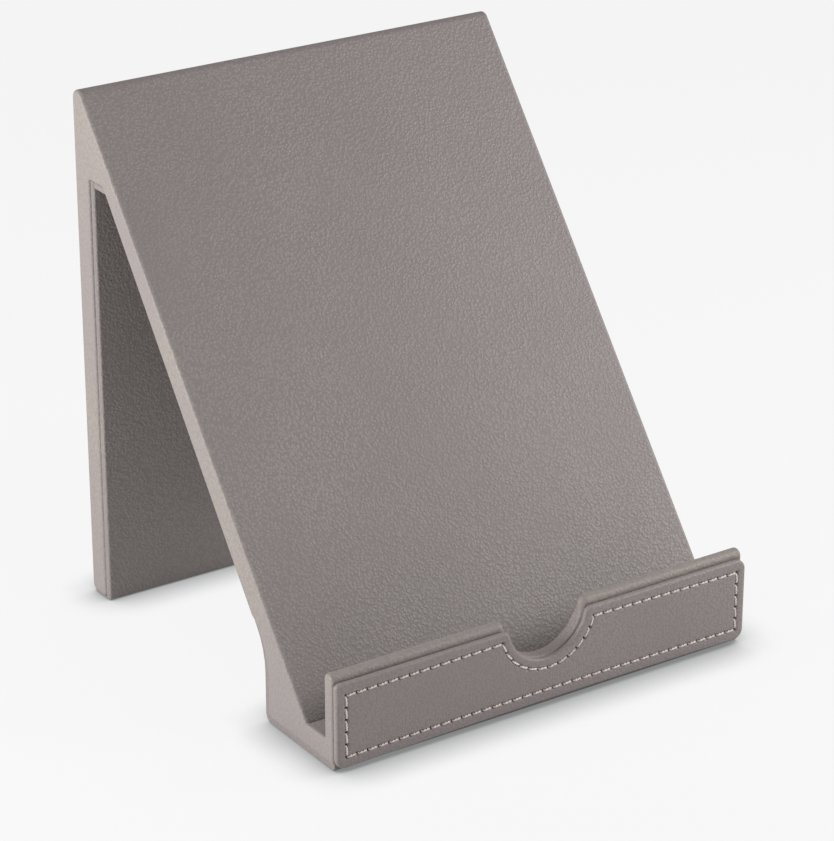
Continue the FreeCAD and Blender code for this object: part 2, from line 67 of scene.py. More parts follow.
# Lines taken from the frame, which every piece below is built on.
def lowOf(name):
    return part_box(name)[0]


def highOf(name):
    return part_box(name)[1]


leather = 1.0 * mm
halfWidth = highOf("side_cover_right").x
coreHalf = highOf("panel_wrap").x
liningHalf = highOf("leg_lining").x
facingFront = lowOf("facing_leather").y
lipFront = highOf("facing_leather").y
lipBack = highOf("notch_lining").y
lipTop = highOf("notch_lining").z
panelFoot = lowOf("panel_wrap").y
trayFloor = highOf("base_board").z + leather
baseBottom = lowOf("base_board").z
legBack = highOf("side_cover_left").y
legFront = lowOf("leg_board").y
liningFront = lowOf("leg_lining").y
wedgeBottom = highOf("ridge_lining").z
ridgeStripBottom = lowOf("ridge_lining").z
footCoreBack = highOf("base_board").y
footBack = footCoreBack + 3 * mm
panelLiningLow = lowOf("panel_lining")       # inner lower edge of the panel's lining
panelLiningHigh = highOf("panel_lining")     # outer upper edge
liningSkinLow = highOf("base_lining")        # outer lower edge, where the foot's lining stops

restAxis = next(m["axis"] for m in frame["record"]["mounts"] if m["name"] == "tablet_rest")
panelAngle = math.atan2(-restAxis[1], restAxis[2])
apex = trayFloor + (legBack - panelFoot) * math.tan(panelAngle)   # where face and leg would meet, sharp
ridgeAngle = (math.pi / 2 - panelAngle) / 2
ridgeRadius = (apex - cadBox[1].z) / (1 / math.tan(ridgeAngle) - 1)

skinSlope = (panelLiningHigh.z - panelLiningLow.z) / (panelLiningHigh.y - liningSkinLow.y)


def skinUp(y):
    # height of the lining under the panel at a place from front to back
    return panelLiningLow.z + (y - liningSkinLow.y) * skinSlope


# Colours and shader nodes.
def toLinear(hexColour):
    parts = [int(hexColour[i:i + 2], 16) / 255 for i in (1, 3, 5)]
    line = [p / 12.92 if p <= 0.04045 else ((p + 0.055) / 1.055) ** 2.4 for p in parts]
    return (*line, 1.0)


def setStops(ramp, stops):
    # a stop is a place with a colour, or with a plain number for a grey
    while len(ramp.elements) < len(stops):
        ramp.elements.new(0.5)
    for point, (at, shade) in zip(ramp.elements, stops):
        point.position = at
        point.color = toLinear(shade) if isinstance(shade, str) else (shade, shade, shade, 1)


def addNode(tree, kind, settings=None, **inputs):
    # a node with its settings, of which stops are for a ramp; an input is a value or another node's
    # output, and inN is input number N
    item = tree.nodes.new(kind)
    for name, value in (settings or {}).items():
        if name == "stops":
            setStops(item.color_ramp, value)
        else:
            setattr(item, name, value)
    for name, value in inputs.items():
        key = int(name[2:]) if name[:2] == "in" and name[2:].isdigit() else name
        socket = item.inputs[key]
        if isinstance(value, bpy.types.NodeSocket):
            tree.links.new(value, socket)
        else:
            socket.default_value = value
    return item


def newMaterial(name):
    material = bpy.data.materials.new(name)
    material.use_nodes = True
    tree = material.node_tree
    tree.nodes.clear()
    shader = addNode(tree, "ShaderNodeBsdfPrincipled")
    output = addNode(tree, "ShaderNodeOutputMaterial")
    tree.links.new(shader.outputs[0], output.inputs[0])
    place = addNode(tree, "ShaderNodeTexCoord").outputs["Object"]
    return material, tree, shader, place


def perMetre(size):
    return 1 / size


# Cowhide, drum-dyed through and embossed with a pebble grain: soft low pebbles that run together, fine
# folds between them, a dull satin gloss, and patches where the grain is fuller or stretched flatter.
grained = {
    "pebble": 1.35 * mm,       # real grain is nearer 0.8 mm, drawn coarser so that it shows
    "fold": 2.0 * mm,
    "pore": 0.45 * mm,
    "patch": 30 * mm,
    "cloud": 70 * mm,
    "relief": 0.22 * mm,
    "pebbles": 0.9,
    "folds": 0.45,
    "pores": 0.25,
    "colours": ("#7b7371", "#827a78"),
    # colour of the painted shade in the grain's low places
    "creaseShadeColour": "#776f6d",
    "roughness": (0.48, 0.60),
    "small": 0.6,              # size of the second, smaller pebbles beside the first
    "smallShare": 0.25,
    "bend": 0.7,               # how far the folds push the pebbles about, in pebbles
    "flattest": 0.7,           # what is left of the pebbles in the flatter patches
    "holeShadeColour": "#3a3230",   # painted shade inside the needle holes
}


def leatherMaterial(name, look):
    material, tree, shader, place = newMaterial(name)
    warp = addNode(tree, "ShaderNodeTexNoise", Vector=place, Scale=perMetre(look["fold"]), Detail=1.0)
    bent = addNode(tree, "ShaderNodeVectorMath", {"operation": "SCALE"},
                   in0=warp.outputs["Color"], Scale=look["bend"] * look["pebble"])
    moved = addNode(tree, "ShaderNodeVectorMath", {"operation": "ADD"}, in0=place, in1=bent.outputs[0])
    cells = addNode(tree, "ShaderNodeTexVoronoi", {"feature": "F1"}, Vector=moved.outputs[0],
                    Scale=perMetre(look["pebble"]), Randomness=0.95)
    small = addNode(tree, "ShaderNodeTexVoronoi", {"feature": "F1"}, Vector=moved.outputs[0],
                    Scale=perMetre(look["small"] * look["pebble"]), Randomness=1.0)
    both = addNode(tree, "ShaderNodeMix", {"data_type": "FLOAT"}, in0=look["smallShare"],
                   in2=cells.outputs["Distance"], in3=small.outputs["Distance"])
    pebble = addNode(tree, "ShaderNodeMapRange", {"interpolation_type": "SMOOTHSTEP"},
                     Value=both.outputs[0], in1=0.75, in2=0.1, in3=0.0, in4=1.0)
    folds = addNode(tree, "ShaderNodeTexNoise", Vector=moved.outputs[0], Scale=perMetre(look["fold"]),
                    Detail=3.0, Roughness=0.6, Distortion=0.6)
    pores = addNode(tree, "ShaderNodeTexNoise", Vector=place, Scale=perMetre(look["pore"]), Detail=2.0)
    patch = addNode(tree, "ShaderNodeTexNoise", Vector=place, Scale=perMetre(look["patch"]), Detail=2.0)
    fullness = addNode(tree, "ShaderNodeMapRange", Value=patch.outputs["Fac"], in1=0.3, in2=0.65,
                       in3=look["flattest"] * look["pebbles"], in4=look["pebbles"])
    grain = addNode(tree, "ShaderNodeMath", {"operation": "MULTIPLY"}, in0=pebble.outputs[0],
                    in1=fullness.outputs[0])
    folded = addNode(tree, "ShaderNodeMath", {"operation": "MULTIPLY_ADD"}, in0=folds.outputs["Fac"],
                     in1=look["folds"], in2=grain.outputs[0])
    height = addNode(tree, "ShaderNodeMath", {"operation": "MULTIPLY_ADD"}, in0=pores.outputs["Fac"],
                     in1=look["pores"], in2=folded.outputs[0])
    cloud = addNode(tree, "ShaderNodeTexNoise", Vector=place, Scale=perMetre(look["cloud"]), Detail=3.0)
    dark, light = look["colours"]
    tone = addNode(tree, "ShaderNodeValToRGB", {"stops": ((0.35, dark), (0.65, light))},
                   Fac=cloud.outputs["Fac"]).outputs[0]
    # the grain's low places are darkened towards the crease colour: painted shade
    depth = addNode(tree, "ShaderNodeValToRGB", {"stops": ((0.35, 1.0), (0.75, 0.0))},
                    Fac=height.outputs[0]).outputs[0]
    shade = addNode(tree, "ShaderNodeMix", {"data_type": "RGBA"}, in0=depth, in6=tone,
                    in7=toLinear(look["creaseShadeColour"]))
    # the needle holes are darkened with painted shade
    pierced = addNode(tree, "ShaderNodeAttribute", {"attribute_name": "needleHole"})
    paintedHoleShade = addNode(tree, "ShaderNodeValToRGB", {"stops": ((0.15, 0.0), (0.6, 1.0))},
                  Fac=pierced.outputs["Fac"]).outputs[0]
    holeShaded = addNode(tree, "ShaderNodeMix", {"data_type": "RGBA"}, in0=paintedHoleShade, in6=shade.outputs[2],
                    in7=toLinear(look["holeShadeColour"]))
    gloss = addNode(tree, "ShaderNodeMapRange", Value=height.outputs[0], in1=0.2, in2=1.2,
                    in3=look["roughness"][1], in4=look["roughness"][0])
    bump = addNode(tree, "ShaderNodeBump", Strength=1.0, Distance=look["relief"],
                   Height=height.outputs[0])
    tree.links.new(holeShaded.outputs[2], shader.inputs["Base Color"])
    tree.links.new(gloss.outputs[0], shader.inputs["Roughness"])
    tree.links.new(bump.outputs[0], shader.inputs["Normal"])
    shader.inputs["IOR"].default_value = 1.48
    shader.inputs["Sheen Weight"].default_value = 0.05
    shader.inputs["Sheen Roughness"].default_value = 0.5
    return material


grainedLeather = leatherMaterial("grainedLeather", grained)

# The same hide with its grain plated nearly flat, as used under a stitched facing: an even, finer surface.
# Its colours are a little paler than the grained hide's: painted light that brightens the facing and the
# notch band.
smooth = dict(grained, pebble=1.2 * mm, relief=0.10 * mm, patch=18 * mm,
              colours=("#7f7674", "#857c7a"), creaseShadeColour="#7b7270", roughness=(0.50, 0.58))
smoothLeather = leatherMaterial("smoothLeather", smooth)

# The same hide where it is pulled tight over edges and narrow boards: its pebbles are stretched nearly flat.
# Its colours are paler than the grained hide's: painted light, for the sides lit from the left and for the
# top of the lip.
stretchedLit = dict(grained, relief=0.14 * mm, colours=("#827a78", "#888078"), creaseShadeColour="#7e7674")
stretchedLitLeather = leatherMaterial("stretchedLitLeather", stretchedLit)


def threadMaterial():
    # Polyester sewing thread, twisted from two plies and waxed: pale, with a silky run of light
    # along each ply and darker where the plies lie together.
    material, tree, shader, place = newMaterial("sewingThread")
    fibre = addNode(tree, "ShaderNodeTexNoise", Vector=place, Scale=perMetre(0.25 * mm), Detail=2.0)
    tone = addNode(tree, "ShaderNodeValToRGB", {"stops": ((0.3, "#c9bbb5"), (0.7, "#e6dad4"))},
                   Fac=fibre.outputs["Fac"]).outputs[0]
    bump = addNode(tree, "ShaderNodeBump", Strength=0.6, Distance=0.04 * mm,
                   Height=fibre.outputs["Fac"])
    tree.links.new(tone, shader.inputs["Base Color"])
    tree.links.new(bump.outputs[0], shader.inputs["Normal"])
    shader.inputs["Roughness"].default_value = 0.55
    shader.inputs["Sheen Weight"].default_value = 0.2
    return material


sewingThread = threadMaterial()


def boardMaterial(name, size, colours, roughness, stretch=(1, 1, 1)):
    # Flecked or fibrous boards and timber: noise drawn out along the fibres.
    material, tree, shader, place = newMaterial(name)
    along = addNode(tree, "ShaderNodeMapping", Vector=place, Scale=stretch)
    fibre = addNode(tree, "ShaderNodeTexNoise", Vector=along.outputs[0], Scale=perMetre(size), Detail=5.0)
    tone = addNode(tree, "ShaderNodeValToRGB", {"stops": ((0.3, colours[0]), (0.7, colours[1]))},
                   Fac=fibre.outputs["Fac"]).outputs[0]
    bump = addNode(tree, "ShaderNodeBump", Strength=0.5, Distance=0.05 * mm,
                   Height=fibre.outputs["Fac"])
    tree.links.new(tone, shader.inputs["Base Color"])
    tree.links.new(bump.outputs[0], shader.inputs["Normal"])
    shader.inputs["Roughness"].default_value = roughness
    return material


# MDF, pressed and sanded: fine felted fibre. Beech, planed: short flecks along the grain.
# Greyboard, pressed from waste paper: mottled grey.
sandedFibreboard = boardMaterial("sandedFibreboard", 1.2 * mm, ("#a98a63", "#c4a67c"), 0.85)
planedBeech = boardMaterial("planedBeech", 1.5 * mm, ("#c29a6c", "#dcb98c"), 0.6, (0.12, 1, 1))
pressedGreyboard = boardMaterial("pressedGreyboard", 2.0 * mm, ("#8d8b86", "#a9a6a0"), 0.9)


def pinMaterial():
    # Steel wire, drawn and zinc plated: a bright grey with fine marks along the wire.
    material, tree, shader, place = newMaterial("zincPlatedSteel")
    along = addNode(tree, "ShaderNodeMapping", Vector=place, Scale=(1, 0.1, 1))
    marks = addNode(tree, "ShaderNodeTexNoise", Vector=along.outputs[0], Scale=perMetre(0.3 * mm))
    tone = addNode(tree, "ShaderNodeValToRGB", {"stops": ((0.3, "#a5a7aa"), (0.7, "#c4c6c8"))},
                   Fac=marks.outputs["Fac"]).outputs[0]
    tree.links.new(tone, shader.inputs["Base Color"])
    shader.inputs["Metallic"].default_value = 1.0
    shader.inputs["Roughness"].default_value = 0.35
    return material


zincPlatedSteel = pinMaterial()
print("materials made")


# Ways of working, shared by all the pieces.
def pickNone():
    if bpy.context.object and bpy.context.object.mode != "OBJECT":
        bpy.ops.object.mode_set(mode="OBJECT")
    bpy.ops.object.select_all(action="DESELECT")


def pickOnly(piece):
    pickNone()
    piece.select_set(True)
    bpy.context.view_layer.objects.active = piece


def startPiece(name, place):
    # a small plane merged to a single corner, ready to be extruded along an outline
    pickNone()
    bpy.ops.mesh.primitive_plane_add(size=leather, location=place)
    piece = bpy.context.object
    piece.name = name
    bpy.ops.object.transform_apply(location=True, rotation=True, scale=True)
    bpy.ops.object.mode_set(mode="EDIT")
    bpy.ops.mesh.select_mode(type="VERT")
    bpy.ops.mesh.select_all(action="SELECT")
    bpy.ops.mesh.merge(type="CENTER")
    return piece


def drawOutline(name, points):
    # the outline is drawn from corner to corner, closed and filled
    piece = startPiece(name, points[0])
    for start, end in zip(points, points[1:]):
        bpy.ops.mesh.extrude_region_move(TRANSFORM_OT_translate={"value": end - start})
    bpy.ops.mesh.select_all(action="SELECT")
    bpy.ops.mesh.edge_face_add()
    return piece


def roundCorners(corners):
    # corners are (across, up) or (across, up, radius); a radius is drawn as a true arc
    flat = [Vector(c[:2]) for c in corners]
    rounded = []
    for i, corner in enumerate(corners):
        here = flat[i]
        radius = corner[2] if len(corner) > 2 else 0
        if not radius:
            rounded.append(here)
            continue
        before = (flat[i - 1] - here).normalized()
        after = (flat[(i + 1) % len(flat)] - here).normalized()
        half = before.angle(after) / 2
        middle = here + (before + after).normalized() * radius / math.sin(half)
        first = here + before * radius / math.tan(half) - middle
        last = here + after * radius / math.tan(half) - middle
        turn = first.angle(last)
        steps = max(3, round(turn / math.radians(9)))
        for step in range(steps + 1):
            part = step / steps
            arm = (first * math.sin((1 - part) * turn) + last * math.sin(part * turn)) / math.sin(turn)
            rounded.append(middle + arm)
    return rounded


def sidePoints(corners, x):
    return [Vector((x, p.x, p.y)) for p in roundCorners(corners)]


def pickEdges(wanted):
    # edit mode: selects the edges that pass the test, which gets both ends
    bpy.ops.mesh.select_mode(type="EDGE")
    bpy.ops.mesh.select_all(action="DESELECT")
    mesh = bmesh.from_edit_mesh(bpy.context.object.data)
    for edge in mesh.edges:
        if wanted(edge.verts[0].co, edge.verts[1].co):
            edge.select_set(True)
    mesh.select_flush_mode()
    bmesh.update_edit_mesh(bpy.context.object.data)


def pickFaces(wanted):
    bpy.ops.mesh.select_mode(type="FACE")
    bpy.ops.mesh.select_all(action="DESELECT")
    mesh = bmesh.from_edit_mesh(bpy.context.object.data)
    mesh.normal_update()
    for face in mesh.faces:
        if wanted(face.calc_center_median(), face.normal):
            face.select_set(True)
    mesh.select_flush_mode()
    bmesh.update_edit_mesh(bpy.context.object.data)


def faceOut():
    bpy.ops.mesh.select_all(action="SELECT")
    bpy.ops.mesh.normals_make_consistent(inside=False)


def makeSlab(name, corners, fromX, toX, rim=0.0, rimAt=(), segments=5, square=lambda a, b: False):
    # a side-view outline drawn at one x, extruded to another, its rims rounded at the given x
    # apart from the edges that stay square
    piece = drawOutline(name, sidePoints(corners, fromX))
    bpy.ops.mesh.extrude_region_move(TRANSFORM_OT_translate={"value": (toX - fromX, 0, 0)})
    faceOut()
    if rim:
        pickEdges(lambda a, b: any(abs(a.x - x) < near and abs(b.x - x) < near for x in rimAt)
                  and not square(a, b))
        bpy.ops.mesh.bevel(offset=rim, segments=segments, profile=0.5, affect="EDGES",
                           clamp_overlap=False)
    return piece


def useModifier(piece, kind, **settings):
    pickOnly(piece)
    bpy.ops.object.modifier_add(type=kind)
    modifier = piece.modifiers[-1]
    for name, value in settings.items():
        setattr(modifier, name, value)
    bpy.ops.object.modifier_apply(modifier=modifier.name)


def openInside(piece, hidden):
    # the hidden faces go, and the skin that is left gets its thickness inwards, round a card
    pickFaces(hidden)
    bpy.ops.mesh.inset(thickness=lining["flange"], depth=0)
    bpy.ops.mesh.delete(type="FACE")
    useModifier(piece, "SOLIDIFY", thickness=leather, offset=-1.0, use_even_offset=False)
    for corner in piece.data.vertices:
        corner.co.x = max(-liningHalf, min(liningHalf, corner.co.x))


def finishPiece(piece, material, slotName, *nodes, smoothAngle=35):
    pickOnly(piece)
    piece.data.materials.clear()
    piece.data.materials.append(material)
    bpy.ops.object.shade_smooth_by_angle(angle=math.radians(smoothAngle))
    useModifier(piece, "WEIGHTED_NORMAL", keep_sharp=True, weight=80)
    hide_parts(*nodes)
    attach(piece, "root")
    pickNone()


# Panel, ridge and leg: one long sheet of grained leather.
panelSheet = {
    "footRound": 0.5 * mm,      # turned edge where the sheet goes down into the tray's crease
}


def makePanelWrap():
    inside = ridgeRadius - leather
    skinFoot = panelFoot + leather / math.sin(panelAngle) - leather / math.tan(panelAngle)
    innerApex = apex - leather * (1 / math.cos(panelAngle) + math.tan(panelAngle))
    corners = (
        (panelFoot, trayFloor, panelSheet["footRound"]),
        (skinFoot, trayFloor - leather),
        (legBack - leather, innerApex, inside),
        (legBack - leather, leather),
        (legBack, leather),
        (legBack, apex, ridgeRadius),
    )
    piece = makeSlab("panelWrap", corners, -coreHalf, coreHalf)
    finishPiece(piece, grainedLeather, "grained_leather", "panel_wrap")


makePanelWrap()
print("panel, ridge and leg covered")

# Side covers: one sheet over the whole side, from the lip to the leg.
sideCover = {
    "rim": 1.25 * mm,           # soft turned edge all round
    "lipRound": 2.9 * mm,
    "trayRound": 0.8 * mm,
    "heelRound": 1.5 * mm,
    "wedgeRound": 1.0 * mm,
    "panelFootRound": 0.5 * mm,
    "legToe": 1.6 * mm,
    "legHeel": 3.0 * mm,
}
# The seam with the foot's lining, from the base up to the underside of the panel.
seam = {
    "start": 21.0 * mm,         # above the underside of the base
    "startRound": 9 * mm,
    "bend": (2.1 * mm, -9.5 * mm),      # behind the base, and below the panel lining's lower edge
    "bendRound": 12 * mm,
    "turn": (-1.2 * mm, -0.8 * mm),     # both from the panel lining's lower edge
    "turnRound": 3 * mm,
    "end": 2.0 * mm,
}
seamEnd = panelLiningLow.y + seam["end"]
footSeam = (
    (footCoreBack, baseBottom + seam["start"], seam["startRound"]),
    (footCoreBack + seam["bend"][0], panelLiningLow.z + seam["bend"][1], seam["bendRound"]),
    (panelLiningLow.y + seam["turn"][0], panelLiningLow.z + seam["turn"][1], seam["turnRound"]),
    (seamEnd, skinUp(seamEnd)),
)


def makeSideCover(name, side, node):
    corners = (
        (lipFront, baseBottom),
        (footCoreBack, baseBottom, sideCover["heelRound"]),
        *footSeam,
        (panelLiningHigh.y, wedgeBottom),
        (legFront, wedgeBottom, sideCover["wedgeRound"]),
        (legFront, leather, sideCover["legToe"]),
        (legBack, leather, sideCover["legHeel"]),
        (legBack, apex, ridgeRadius),
        (panelFoot, trayFloor, sideCover["panelFootRound"]),
        (lipBack, trayFloor, sideCover["trayRound"]),
        (lipBack, lipTop, sideCover["lipRound"]),
        (lipFront, lipTop, sideCover["lipRound"]),
    )
    piece = makeSlab(name, corners, side * coreHalf, side * halfWidth, sideCover["rim"],
                     (side * halfWidth,), segments=6)
    # the sides take the paler copy of the hide, with painted light
    finishPiece(piece, stretchedLitLeather, "grained_leather", node)


makeSideCover("sideCoverLeft", -1, "side_cover_left")
makeSideCover("sideCoverRight", 1, "side_cover_right")
print("sides covered")

# Lip and tray floor: one sheet, with a separate strip in the notch.
lip = {
    "round": 2.9 * mm,          # full round over the top
    "notchRound": 0.45,         # share of that rounding left on the rims of the notch
    "fade": 7 * mm,
    "notch": 19.0 * mm,
    "notchUp": lipTop - 0.5 * mm,
    "shoulder": 3.3 * mm,
    "corner": 1.2 * mm,         # soft turn from lip to tray floor
    "creaseRound": 0.5 * mm,    # and down into the crease below the panel
    "crease": (0, 0.45 * mm, -0.9 * mm),     # where the sheet's end goes, back and down
    "steps": 30,                # corners along the notch
}


def notchOutline(half, bottom, top, radius, middle, shoulder, steps):
    # front view, anticlockwise from bottom left: (x, z) points with the notch and its rounded shoulders
    points = [Vector((-half, bottom)), Vector((half, bottom)), Vector((half, top))]
    reach = radius + shoulder
    rise = middle - (top - shoulder)
    shoulderX = math.sqrt(reach ** 2 - rise ** 2)
    low = math.asin(rise / reach)            # where notch and shoulder meet, below the level
    for step in range(steps // 3 + 1):
        angle = math.pi / 2 + (math.pi / 2 - low) * step / (steps // 3)
        points.append(Vector((shoulderX + shoulder * math.cos(angle), top - shoulder
                              + shoulder * math.sin(angle))))
    for step in range(1, steps):
        angle = -low - (math.pi - 2 * low) * step / steps
        points.append(Vector((radius * math.cos(angle), middle + radius * math.sin(angle))))
    for step in range(steps // 3 + 1):
        angle = low + (math.pi / 2 - low) * step / (steps // 3)
        points.append(Vector((-shoulderX + shoulder * math.cos(angle), top - shoulder
                              + shoulder * math.sin(angle))))
    points.append(Vector((-half, top)))
    return points


def tightenNotch(piece):
    # round the notch the rims are pressed tighter than over the top, which leaves its band flat
    mesh = bmesh.from_edit_mesh(piece.data)
    for corner in mesh.verts:
        x, y, z = corner.co
        over = math.hypot(x, z - lip["notchUp"]) - lip["notch"]
        if over > lip["round"] + near or z > lipTop - lip["shoulder"]:
            continue
        part = max(0.0, 1 - (lipTop - lip["shoulder"] - z) / lip["fade"])
        share = lip["notchRound"] + (1 - lip["notchRound"]) * part * part * (3 - 2 * part)
        pull = (lip["notch"] + over * share) / (lip["notch"] + over)
        corner.co.x = x * pull
        corner.co.z = lip["notchUp"] + (z - lip["notchUp"]) * pull
        if y - lipFront < lipBack - y:
            corner.co.y = lipFront + (y - lipFront) * share
        else:
            corner.co.y = lipBack - (lipBack - y) * share
    bmesh.update_edit_mesh(piece.data)


def makeLip():
    flat = notchOutline(coreHalf, baseBottom, lipTop, lip["notch"], lip["notchUp"], lip["shoulder"],
                        lip["steps"])
    piece = drawOutline("trayWrap", [Vector((p.x, lipFront, p.y)) for p in flat])
    bpy.ops.mesh.extrude_region_move(TRANSFORM_OT_translate={"value": (0, lipBack - lipFront, 0)})
    faceOut()

    def onTop(a, b):
        level = abs(a.y - b.y) < near
        upper = min(a.z, b.z) > baseBottom + leather
        upright = abs(a.x) > coreHalf - near and abs(b.x) > coreHalf - near
        return level and upper and not upright

    pickEdges(onTop)
    bpy.ops.mesh.bevel(offset=lip["round"], segments=8, profile=0.5, affect="EDGES", clamp_overlap=False)
    tightenNotch(piece)
    # the ends and the bottom are open, and the back stops at the tray's floor
    pickFaces(lambda c, n: abs(n.x) > 0.99 and abs(c.x) > coreHalf - near or c.z < baseBottom + near)
    bpy.ops.mesh.delete(type="FACE")
    pickFaces(lambda c, n: n.y > 0.99)
    bpy.ops.mesh.bisect(plane_co=(0, 0, trayFloor), plane_no=(0, 0, 1))
    pickFaces(lambda c, n: n.y > 0.99 and c.z < trayFloor)
    bpy.ops.mesh.delete(type="FACE")
    pickEdges(lambda a, b: max(abs(a.z - trayFloor), abs(b.z - trayFloor)) < near
              and min(a.y, b.y) > lipBack - near)
    bpy.ops.mesh.extrude_region_move(TRANSFORM_OT_translate={"value": (0, panelFoot - lipBack, 0)})
    bpy.ops.mesh.extrude_region_move(TRANSFORM_OT_translate={"value": lip["crease"]})
    pickEdges(lambda a, b: max(abs(a.z - trayFloor), abs(b.z - trayFloor)) < near
              and max(abs(a.y - lipBack), abs(b.y - lipBack)) < near)
    bpy.ops.mesh.bevel(offset=lip["corner"], segments=6, profile=0.5, affect="EDGES")
    pickEdges(lambda a, b: max(abs(a.z - trayFloor), abs(b.z - trayFloor)) < near
              and max(abs(a.y - panelFoot), abs(b.y - panelFoot)) < near)
    bpy.ops.mesh.bevel(offset=lip["creaseRound"], segments=4, profile=0.5, affect="EDGES")
    faceOut()
    # the band round the notch is a strip of its own
    reach = lip["notch"] + lip["round"] + near
    pickFaces(lambda c, n: math.hypot(c.x, c.z - lip["notchUp"]) < reach and c.z < lipTop - lip["shoulder"]
              and lipFront + near < c.y < lipBack - near)
    bpy.ops.mesh.separate(type="SELECTED")
    bpy.ops.object.mode_set(mode="OBJECT")
    band = next(o for o in bpy.context.selected_objects if o is not piece)
    band.name = "notchLining"
    for part in (piece, band):
        useModifier(part, "SOLIDIFY", thickness=leather, offset=-1.0, use_even_offset=False)
    return piece, band


trayWrap, notchLining = makeLip()
# the lip and tray take the paler copy of the hide, with painted light
finishPiece(trayWrap, stretchedLitLeather, "grained_leather", "tray_wrap")
finishPiece(notchLining, smoothLeather, "smooth_leather", "notch_lining")
print("lip and tray covered")

# Linings under the panel, inside the leg, under the base and behind the foot.
lining = {
    "rim": 0.5 * mm,
    "flange": 0.4 * mm,         # the skins turn in by this much behind the seams
    "legRim": 0.9 * mm,
    "frontRound": 1.6 * mm,     # the base's front edge curls up out of sight under the facing
    "heel": 4.0 * mm,
    "hollow": 30.0 * mm,
    "flapShort": 1.2 * mm,      # the flap under the leg stops this far from its back
    "toe": 1.6 * mm,
    "head": 0.8 * mm,
    "tipRound": 0.4 * mm,
}


def makeLegLining():
    flapEnd = legBack - lining["flapShort"]
    piece = makeSlab("legLining", (
        (liningFront, 0, lining["toe"]),
        (flapEnd, 0),
        (flapEnd, leather),
        (legFront, leather),
        (legFront, wedgeBottom),
        (liningFront, wedgeBottom, lining["head"]),
    ), -liningHalf, liningHalf, lining["legRim"], (-liningHalf, liningHalf),
        square=lambda a, b: max(a.z, b.z) < leather + near and min(a.y, b.y) > legFront - near)
    openInside(piece, lambda c, n: n.y > 0.9 and c.y < legFront + near
               or n.z > 0.9 and c.z < leather + near)
    finishPiece(piece, grainedLeather, "grained_leather", "leg_lining")


def makeRidgeLining():
    low = panelLiningHigh.y - (wedgeBottom - ridgeStripBottom) / skinSlope
    piece = makeSlab("ridgeLining", (
        (low, ridgeStripBottom),
        (liningFront, ridgeStripBottom),
        (liningFront, wedgeBottom),
        (panelLiningHigh.y, wedgeBottom),
    ), -liningHalf, liningHalf, lining["legRim"], (-liningHalf, liningHalf))
    finishPiece(piece, grainedLeather, "grained_leather", "ridge_lining")


def makePanelLining():
    skinDepth = liningSkinLow.y - panelLiningLow.y
    piece = makeSlab("panelLining", (
        (panelLiningLow.y, panelLiningLow.z),
        (liningSkinLow.y, panelLiningLow.z, lining["tipRound"]),
        (panelLiningHigh.y, wedgeBottom),
        (panelLiningHigh.y - skinDepth, wedgeBottom),
    ), -coreHalf, coreHalf)
    finishPiece(piece, grainedLeather, "grained_leather", "panel_lining")


def makeBaseLining():
    inner = [Vector(p[:2]) for p in footSeam[:2]]
    piece = makeSlab("baseLining", (
        (lipFront, 0, lining["frontRound"]),
        (footBack, 0, lining["heel"]),
        (footBack, skinUp(footBack), lining["hollow"]),
        (liningSkinLow.y, panelLiningLow.z),
        (panelLiningLow.y, panelLiningLow.z),
        *reversed(inner),
        (footCoreBack, baseBottom),
        (lipFront, baseBottom),
    ), -liningHalf, liningHalf, lining["rim"], (-liningHalf, liningHalf))

    def inside(c, n):
        onBase = n.z > 0.9 and c.z < baseBottom + near
        onFoot = n.y < -0.5 and c.y > lipFront + leather
        return onBase or onFoot

    openInside(piece, inside)
    finishPiece(piece, grainedLeather, "grained_leather", "base_lining")


makeLegLining()
makeRidgeLining()
makePanelLining()
makeBaseLining()
print("linings made")

# Facing on the lip, with a channel for the stitches.
facing = {
    "low": lowOf("facing_leather").z,
    "top": highOf("facing_leather").z,
    "corner": 1.8 * mm,
    "endCorner": 4.5 * mm,      # top right, where facing and lip run together
    "footCorner": 4.5 * mm,
    "shoulder": 3.0 * mm,
    "rim": 1.2 * mm,
    "backRim": 1.3 * mm,
    "bow": 1.3 * mm,            # the bottom edge is a little higher in the middle
    "bowMiddle": 12 * mm,
    "bowReach": 112 * mm,
    "bowDrop": 0.45 * mm,
    "stitchSide": 4.6 * mm,
    "stitchBottom": 5.0 * mm,
    "stitchTopEnd": 5.2 * mm,
    "stitchNotch": 4.2 * mm,
    "pitch": 4.9 * mm,
    "perStitch": 12,            # corners of the mesh from one needle hole to the next
    "hole": 0.62 * mm,
    "holeDepth": 0.9 * mm,      # below the bottom of the valley
    "swell": 0.04 * mm,         # the leather rises a little between the holes
    "swellAt": 1.3 * mm,
    "swellWide": 0.7 * mm,
    "puff": 0.03 * mm,
    # the stitch channel: how far inside the stitch line and how deep, in millimetres
    "valley": ((-1.3, 0.0), (-0.9, 0.06), (-0.55, 0.18), (-0.28, 0.29), (0.0, 0.33), (0.28, 0.29),
               (0.55, 0.18), (0.9, 0.06), (1.3, 0.0), (2.4, -0.02), (3.2, -0.02), (4.0, -0.02)),
}
notchUp = lip["notchUp"]
stitchHalf = halfWidth - facing["stitchSide"]


def bottomAt(x):
    lift = facing["bow"] * (1 - ((x - facing["bowMiddle"]) / facing["bowReach"]) ** 2)
    return facing["low"] - facing["bowDrop"] + lift


def evenly(points, count):
    # points spaced evenly along a line, without its last one
    lengths = [0.0]
    for a, b in zip(points, points[1:]):
        lengths.append(lengths[-1] + (b - a).length)
    spaced = []
    k = 0
    for step in range(count):
        goal = lengths[-1] * step / count
        while lengths[k + 1] < goal:
            k += 1
        part = (goal - lengths[k]) / (lengths[k + 1] - lengths[k])
        spaced.append(points[k].lerp(points[k + 1], part))
    return spaced


